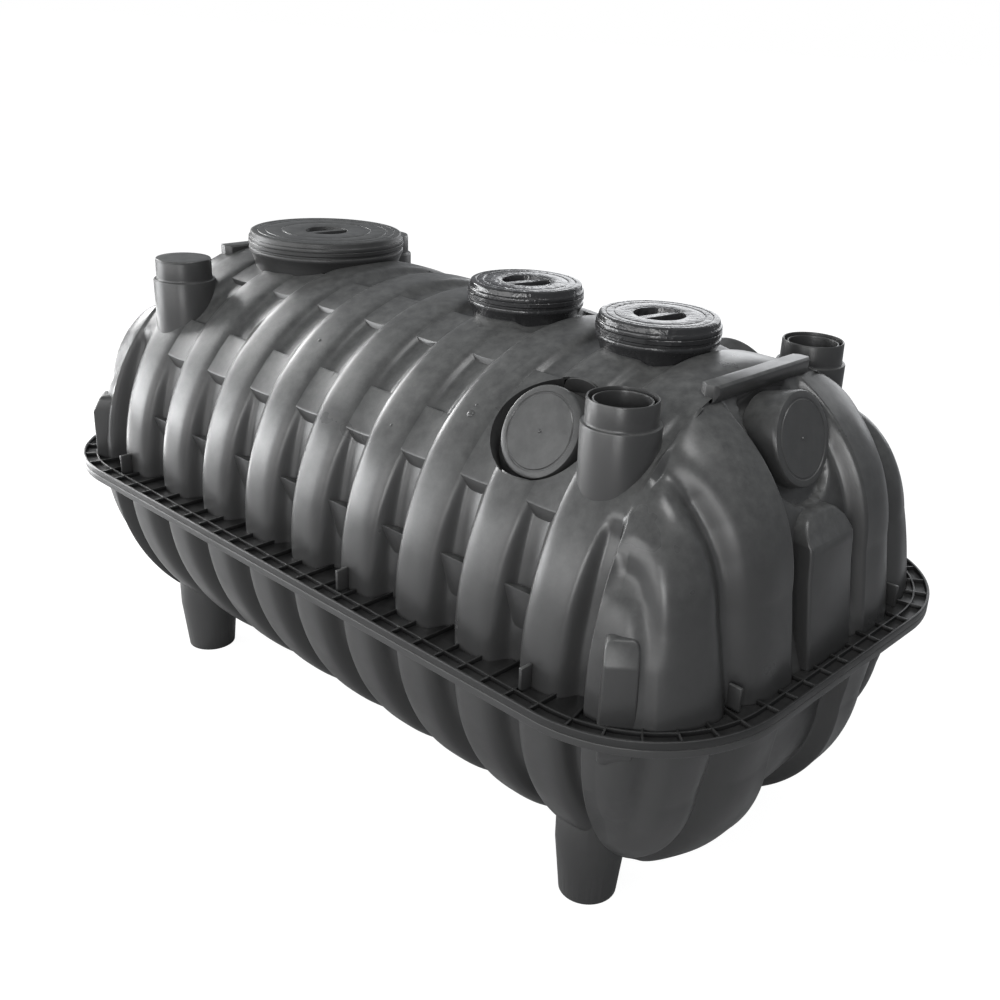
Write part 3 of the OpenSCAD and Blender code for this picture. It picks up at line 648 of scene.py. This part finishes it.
# %% Wall, second end, and the lower pair
def end_set(piece, flip_z, slot, names, stands_for):
    settle(piece, 0.00002)
    if flip_z:
        flipped = mirrored(piece, z=-1)
        bpy.data.objects.remove(piece)
        piece = flipped
    if max(piece.data.polygons, key=lambda f: f.center.x).normal.x < 0:
        piece.data.flip_normals()
    far = mirrored(piece, x=-1)
    for made, name, node in zip((piece, far), names, stands_for):
        apply_modifier(made, "SOLIDIFY", thickness=wall, offset=-1)
        only(made)
        bpy.ops.object.shade_smooth_by_angle(angle=math.radians(50))
        dress(made, name, slot, node)

end_set(near_end, False, "upper_shell", ("upper_near_end_skin", "upper_far_end_skin"),
    ("upper_end_near", "upper_end_far"))
end_set(low_end, True, "lower_shell", ("lower_near_end_skin", "lower_far_end_skin"),
    ("lower_end_near", "lower_end_far"))

# %% [markdown]
# ## Buttresses
# Upright blocks stand at the middle and the corners of each end and keep the flat parts stiff.
# Each is a plate with its top corners cut, bent to the lean of the end, and rounded all over.

# %% Middle buttresses
def middle_buttress(high_z, slot, name, flip):
    w = 0.087
    shape = [(-w, 0), (-w + 0.003, high_z - 0.050), (-w + 0.011, high_z - 0.026), (-w + 0.028,
        high_z - 0.008), (-w + 0.052, high_z)]
    shape = shape + [(-y, z) for y, z in reversed(shape)]
    piece = plate([(0, y, z) for y, z in shape], (0.060, 0, 0))
    only(piece)
    bpy.ops.object.mode_set(mode="EDIT")
    for level in (high_z - 0.075, high_z - 0.055, 0.2):
        bpy.ops.mesh.select_all(action="SELECT")
        if 0 < level < high_z - 0.05:
            bpy.ops.mesh.bisect(plane_co=(0, 0, level), plane_no=(0, 0, 1))
    bpy.ops.object.mode_set(mode="OBJECT")
    for v in piece.data.vertices:
        z = v.co.z
        front = float(reach_at(z)) + 0.001 - 0.022 * float(ease(high_z - 0.058, high_z, z))
        v.co.x = front if v.co.x > 0.03 else front - 0.060
        v.co.z = joint_z + z
    soft_edges(piece, 0.008, 3, 25, 50)
    if flip:
        upright_piece, piece = piece, mirrored(piece, z=-1)
        bpy.data.objects.remove(upright_piece)
    far = mirrored(piece, x=-1)
    dress(piece, name + "_near", slot)
    dress(far, name + "_far", slot)

middle_buttress(0.325, "upper_shell", "upper_middle_buttress", False)
middle_buttress(0.100, "lower_shell", "lower_middle_buttress", True)

# %% Corner buttresses
def corner_buttress(high_z, slot, name, flip):
    a, b = Vector((0.931, 0.560, 0)), Vector((0.984, 0.514, 0))
    middle, across = (a + b) / 2, (b - a).normalized()
    outward = Vector((-across.y, across.x, 0))
    if outward.x < 0:
        outward = -outward
    w, slope = 0.037, min(0.045, high_z * 0.4)
    shape = [(-w, 0), (-w + 0.001, high_z - 0.016), (-w + 0.005, high_z - 0.005), (-w + 0.016,
        high_z)]
    shape = shape + [(-y, z) for y, z in reversed(shape)]
    piece = plate([(0, y, z) for y, z in shape], (0.07, 0, 0))
    only(piece)
    bpy.ops.object.mode_set(mode="EDIT")
    bpy.ops.mesh.select_all(action="SELECT")
    bpy.ops.mesh.bisect(plane_co=(0, 0, high_z - slope), plane_no=(0, 0, 1))
    bpy.ops.object.mode_set(mode="OBJECT")
    for v in piece.data.vertices:
        back = 0.024 * max(0, (v.co.z - high_z + slope) / slope)
        along = across * v.co.y * (1 - 0.10 * v.co.z / high_z)
        stand = (-back if v.co.x > 0.03 else -0.07) + 0.002
        v.co = Vector((0, 0, joint_z + v.co.z)) + middle + along + outward * stand
    soft_edges(settle(piece), 0.006, 3, 20, 50)
    if flip:
        upright_piece, piece = piece, mirrored(piece, z=-1)
        bpy.data.objects.remove(upright_piece)
    for x, end in ((1, "near"), (-1, "far")):
        for y, side in ((1, "right"), (-1, "left")):
            dress(mirrored(piece, x=x, y=y), "%s_%s_%s" % (name, end, side), slot)
    bpy.data.objects.remove(piece)

corner_buttress(0.185, "upper_shell", "upper_corner_buttress", False)
corner_buttress(0.092, "lower_shell", "lower_corner_buttress", True)

# %% [markdown]
# ## Blocks in the valleys
# The valleys are stiffened by blocks. Each starts with a steep flat ramp, runs level with the
# ribs, and ends in a soft step. The outline across the valley is spun through the block's angle,
# and a bisect cuts the ramp.

# %% One block
def valley_block(tip, top, stop, height, broad=0.54):
    """A block over a valley at x = 0 on the right side, between angles in degrees."""
    crest = [(u * pitch / 2,
        valley_r + height * (1 + 0.055 * (u / broad) ** 2)) for u in np.linspace(-broad, broad, 9)]
    if height < 0.04:
        broad = 0.42
        crest = [(u * pitch / 2, valley_r + height) for u in (-broad, 0, broad)]
    foot = [(broad * pitch / 2, valley_r - 0.003), (-broad * pitch / 2, valley_r - 0.003)]
    start = math.radians(tip)
    ring = [(x, r * math.cos(start), axis_z + r * math.sin(start)) for x, r in crest + foot]
    piece = draw(ring, closed=True)
    bpy.ops.mesh.spin(steps=max(6, int(stop - tip)), angle=math.radians(stop - tip), center=(0, 0,
        axis_z), axis=(-1, 0, 0))
    piece = settle(piece)
    if min(v.co.z for v in piece.data.vertices) < axis_z - 0.02:
        print("block spun the wrong way")
    t, u = on_barrel(0, valley_r, tip, 1), on_barrel(0, valley_r + height * 1.02, top, 1)
    slope = (u - t).normalized()
    only(piece)
    bpy.ops.object.mode_set(mode="EDIT")
    bpy.ops.mesh.select_all(action="SELECT")
    bpy.ops.mesh.bisect(plane_co=t, plane_no=slope.cross(Vector((1, 0, 0))), use_fill=True,
        clear_outer=True)
    bpy.ops.object.mode_set(mode="OBJECT")
    return settle(piece)

def set_axis(piece, place, turn):
    piece.location, piece.rotation_euler = place, turn
    only(piece)
    bpy.ops.object.transform_apply(location=True, rotation=True, scale=True)
    return piece

def place_blocks(block, valleys, name, stands_for=None, by_pocket=False):
    for i in valleys:
        x = (i - rib_count / 2) * pitch
        for y, side in ((1, "right"), (-1, "left")):
            twin = mirrored(block, y=y)
            twin.location.x = x
            if by_pocket:
                set_axis(twin, (x, 0, 0), (0, 0, 0))
                cut(twin, [pocket_rod(y, pocket_r + 0.002)])
                only(twin)
                bpy.ops.object.shade_smooth_by_angle(angle=math.radians(30))
            dress(twin, "%s_%d_%s" % (name, i, side), "upper_shell",
                *([stands_for] if stands_for else []))
    bpy.data.objects.remove(block)

# %% Blocks half way up, where the ribs start to lie level
place_blocks(soft_edges(valley_block(29, 33.5, 45.5, 0.0425), 0.0022, 2, 20, 30), (1, 2, 3, 5),
    "side_block", "side_valley_blocks")
place_blocks(soft_edges(valley_block(29, 33.5, 64, 0.0430), 0.0022, 2, 20, 30), (7, 8),
    "side_block", "side_valley_blocks", True)

# %% Blocks near the top
place_blocks(soft_edges(valley_block(60, 63, 76, 0.0415), 0.0022, 2, 20, 30), (1, 2, 3, 5),
    "top_block", "top_valley_blocks")

# %% [markdown]
# In two valleys the mould closes with a loose insert. It leaves a narrow slit at each end of the
# block, cut here with a slim three-sided wedge.

# %% Slit blocks
def slit_block(tip, top, stop):
    block = soft_edges(valley_block(tip, top, stop, 0.0425, 0.50), 0.0022, 2, 20, 30)
    cutters = []
    for angle, shift, turn in ((top + 1.2, -0.004, 0), (stop - 1.5, 0.018, math.pi)):
        bpy.ops.object.select_all(action="DESELECT")
        bpy.ops.mesh.primitive_cone_add(vertices=3, radius1=0.006, radius2=0.001, depth=0.060,
            location=on_barrel(shift, valley_r + 0.046, angle, 1),
            rotation=(math.radians(angle) + turn, 0, 0))
        cutters.append(bpy.context.object)
    cut(block, cutters)
    only(block)
    bpy.ops.object.shade_smooth_by_angle(angle=math.radians(30))
    return block

place_blocks(slit_block(29, 33.5, 45.5), (4, 6), "slit_side_block", "side_valley_blocks")
place_blocks(slit_block(60, 63, 76), (4, 6), "slit_top_block", "top_valley_blocks")

# %% [markdown]
# The low wedges stand on the side of the shell. They grow up and outwards and end in a shelf.

# %% Low wedges
place_blocks(soft_edges(valley_block(5, 15.2, 15.2, 0.031), 0.0015, 2, 20, 30), (3, 5, 7, 8),
    "low_wedge", "low_valley_wedges")
place_blocks(soft_edges(valley_block(8.5, 15.2, 15.2, 0.031), 0.0015, 2, 20, 30), (1, 2, 4, 6),
    "low_wedge", "low_valley_wedges")

# %% [markdown]
# ## Round blank bosses
# Pipes may also be led through the sides and the ends, where a round blank is cut out on site.
# Each boss is a turned disc with a chamfer and a fine ring line. The side bosses stand in a
# round pocket, whose wall and floor are the solid's own, softened.

# %% Bosses
def boss_disc(depth):
    face = [(0, 0.0010), (0.0024, 0.0008), (0.0042, -0.0012), (0.040, -0.0008), (0.0795, 0),
        (0.0812, -0.0016), (0.0836, -0.0016), (0.0853, 0), (boss_r - 0.0065, 0),
            (boss_r - 0.0022, -0.0012), (boss_r - 0.0003, -0.0042), (boss_r + 0.0006, -0.010),
            (boss_r + 0.002, -depth), (0, -depth)]
    return turned(face, 128)

for side, word in ((-1, "left"), (1, "right")):
    place, turn = on_barrel(boss_x, barrel_r, math.degrees(boss_angle),
        side), (-side * (math.pi / 2 - boss_tilt), 0, 0)
    disc = set_axis(boss_disc(0.120), place, turn)
    cut(disc, [rod(valley_r - 0.004, 2 * barrel_end, (0, 0, axis_z), (0, math.pi / 2, 0))])
    only(disc)
    bpy.ops.object.shade_smooth_by_angle(angle=math.radians(32))
    dress(disc, "side_boss_disc_" + word, "upper_shell")
    pocket = cut(softened("side_boss_" + word, 0.0018), [set_axis(rod(boss_r + 0.0004, 0.30, (0, 0,
        0)), place, turn)])
    dress(pocket, "side_boss_pocket_" + word, "upper_shell", "side_boss_" + word)

# %% End bosses
tilt, at = math.radians(17), math.radians(44.5)
disc = set_axis(boss_disc(0.085), (roll_x + roll_r * math.cos(at), 0,
    joint_z + roll_z + roll_r * math.sin(at)), (0, math.pi / 2 - tilt, 0))
only(disc)
bpy.ops.object.shade_smooth_by_angle(angle=math.radians(32))
dress(mirrored(disc, x=-1), "end_boss_disc_far", "upper_shell", "end_boss_far")
dress(disc, "end_boss_disc_near", "upper_shell", "end_boss_near")

# %% [markdown]
# ## Lift bars, lugs, feet and flanges
# These keep the solids' own forms. Their meshes are merged and cleaned, and their edges rounded,
# since a moulded edge is never sharp and catches a thin line of light.

# %% Softened solids
for name, width in (("lift_bar_near", 0.005), ("lift_bar_far", 0.005), ("flange_lugs", 0.0016),
    ("feet", 0.003), ("upper_flange_grid", 0.0009)):
    dress(softened(name, width), name + "_soft", slot_of[name], name)

# %% Flange rings, each joined from its four stretches
def ring_of(level, width):
    parts = [copy_of(nodes["%s_flange_%s" % (level, word)]) for word in ("left", "near", "right",
        "far")]
    piece = parts[0]
    only(piece)
    for part in parts[1:]:
        part.select_set(True)
    bpy.ops.object.join()
    bpy.ops.object.mode_set(mode="EDIT")
    bpy.ops.mesh.select_all(action="SELECT")
    bpy.ops.mesh.remove_doubles(threshold=0.00005)
    bpy.ops.mesh.select_all(action="DESELECT")
    bpy.ops.mesh.select_interior_faces()
    bpy.ops.mesh.delete(type="FACE")
    bpy.ops.mesh.select_all(action="SELECT")
    bpy.ops.mesh.dissolve_limited(angle_limit=math.radians(1))
    bpy.ops.mesh.normals_make_consistent(inside=False)
    bpy.ops.object.mode_set(mode="OBJECT")
    print(level, "ring open edges", sum(1 for k, n in edge_use(piece).items() if n != 2))
    return soft_edges(piece, width, 3, 30)

def edge_use(piece):
    use = {}
    for f in piece.data.polygons:
        for k in f.edge_keys:
            use[k] = use.get(k, 0) + 1
    return use

dress(ring_of("upper", 0.0026), "upper_flange_ring", "upper_flange",
    *["upper_flange_" + w for w in ("left", "near", "right", "far")])
dress(ring_of("lower", 0.0026), "lower_flange_ring", "lower_shell",
    *["lower_flange_" + w for w in ("left", "near", "right", "far")])

# %% [markdown]
# ## Pipe sockets
# Each socket is a tube through the shoulder, with a step and a thinner ring on top. Round the bore
# stands an inner sleeve. The two far sockets are closed with a flat cap.

# %% Sockets
bore_r, ring_r, tube_r = 0.0552, 0.072, 0.080
for key, (x, y, low_z, top_z) in sockets.items():
    h = top_z - low_z
    step = h - 0.050
    outline = [(bore_r, 0.001), (tube_r - 0.001, 0.001), (tube_r, 0.003), (tube_r, step - 0.0035),
        (tube_r - 0.001, step - 0.001), (tube_r - 0.0035, step),
        (ring_r + 0.0012, step), (ring_r + 0.0002, step + 0.002), (ring_r, step + 0.006),
        (ring_r - 0.0006, h - 0.003), (ring_r - 0.0016, h - 0.0006), (ring_r - 0.003, h),
        (ring_r - 0.0048, h - 0.001), (ring_r - 0.0055, h - 0.006), (ring_r - 0.006, h - 0.040),
        (bore_r + 0.0052, h - 0.040),
        (bore_r + 0.0048, h - 0.008), (bore_r + 0.0040, h - 0.006), (bore_r + 0.001, h - 0.006),
        (bore_r + 0.0002, h - 0.009), (bore_r, 0.001)]
    tube = turned(outline, 96)
    tube.location = (x, y, low_z)
    only(tube)
    bpy.ops.object.shade_smooth_by_angle(angle=math.radians(35))
    dress(tube, "socket_tube_" + key, "sockets", "socket_" + key)
for word, y in (("left", -sockets["far_right"][1]), ("right", sockets["far_right"][1])):
    cap = turned([(0, 0.0044), (0.045, 0.0044), (0.066, 0.005), (0.0695, 0.0042), (0.071, 0.0022),
        (0.0712, 0.0002), (0, 0.0002)])
    cap.location = (sockets["far_right"][0], y, sockets["far_right"][3])
    only(cap)
    bpy.ops.object.shade_smooth_by_angle(angle=math.radians(35))
    dress(cap, "socket_cap_" + word, "sockets", "socket_caps")

# %% [markdown]
# ## Manhole necks and lids
# The necks flare out of the shell to a collar. The lids are turned discs with a stepped edge and a
# round recess, which a grip bar crosses.

# %% Necks
def neck(key):
    x, r, top_z = lids[key]
    base = joint_z + rise + math.sqrt((valley_r - 0.008) ** 2 - r ** 2) - top_z
    crown_h = axis_z + barrel_r - top_z
    outline = [(r - 0.026, base), (r - 0.022, base), (r - 0.008, crown_h - 0.025), (r - 0.003,
        crown_h - 0.010), (r + 0.003, -0.0535), (r + 0.0052, -0.0505),
        (r + 0.0054, -0.0455), (r + 0.0046, -0.0432), (r + 0.0022, -0.0415), (r + 0.0022, -0.0375),
        (r + 0.0050, -0.0355), (r + 0.0060, -0.0345),
        (r + 0.0062, -0.0262), (r + 0.0052, -0.0252), (r - 0.010, -0.0250), (r - 0.026, base)]
    piece = turned(outline, 128)
    piece.location = (x, 0, top_z)
    only(piece)
    bpy.ops.object.shade_smooth_by_angle(angle=math.radians(35))
    return dress(piece, "neck_tube_" + key, slot_of["neck_" + key], "neck_" + key)

for key in lids:
    neck(key)

# %% Lids
grip_r = 0.058

def lid(key, bar_angle, rings):
    x, r, top_z = lids[key]
    outline = [(0, -0.0015), (grip_r + 0.004, -0.0012), (grip_r + 0.008, -0.0002)]
    for ring in rings:
        outline += [(ring - 0.002, -0.0002), (ring - 0.001, -0.0014), (ring + 0.001, -0.0014),
            (ring + 0.002, -0.0002)]
    outline += [(r - 0.014, -0.0002), (r - 0.010, 0), (r - 0.004, -0.0006), (r - 0.0012, -0.0022),
        (r - 0.0002, -0.0050), (r + 0.0006, -0.0130),
        (r + 0.0012, -0.0142), (r + 0.0042, -0.0150), (r + 0.0050, -0.0165), (r + 0.0050, -0.0240),
        (r + 0.0040, -0.0249), (0, -0.0249)]
    piece = turned(outline, 160)
    hole = rod(grip_r, 0.036, (0, 0, 0), sides=64)
    bpy.ops.object.select_all(action="DESELECT")
    bpy.ops.mesh.primitive_cube_add(size=1, location=(0, 0, -0.020), rotation=(0, 0,
        math.radians(bar_angle)))
    bar = bpy.context.object
    bar.scale = (2.2 * grip_r, 0.019, 0.034)
    cut(hole, [bar])
    cut(piece, [hole])
    piece.location = (x, 0, top_z)
    soft_edges(piece, 0.0012, 2, 40, 35)
    return dress(piece, "lid_disc_" + key, slot_of["lid_" + key], "lid_" + key)

lid("large", 85, (0.120, 0.165, 0.186))
lid("middle", 76, (0.100, 0.118))
lid("near", 80, (0.100, 0.118))

# %% [markdown]
# ## Small marks
# A few moulding pips dot the shell. They are turned domes, set square to the skin.

# %% Pips
for x, angle, size in ((0.378, 47, 0.010), (0.378, 49.5, 0.004), (0.189, 38, 0.004), (-0.189, 52,
    0.005)):
    for side in (-1, 1):
        pip = turned([(0, 0.45 * size), (0.5 * size, 0.38 * size), (0.85 * size, 0.1 * size),
            (size, -0.2 * size), (size, -0.8 * size), (0, -0.8 * size)], 24)
        set_axis(pip, on_barrel(x, barrel_r, angle, side), (-side * math.radians(90 - angle), 0, 0))
        only(pip)
        bpy.ops.object.shade_smooth_by_angle(angle=math.radians(40))
        dress(pip, "pip_%d_%d_%s" % (x * 1000, angle, "left" if side < 0 else "right"),
            "upper_shell")
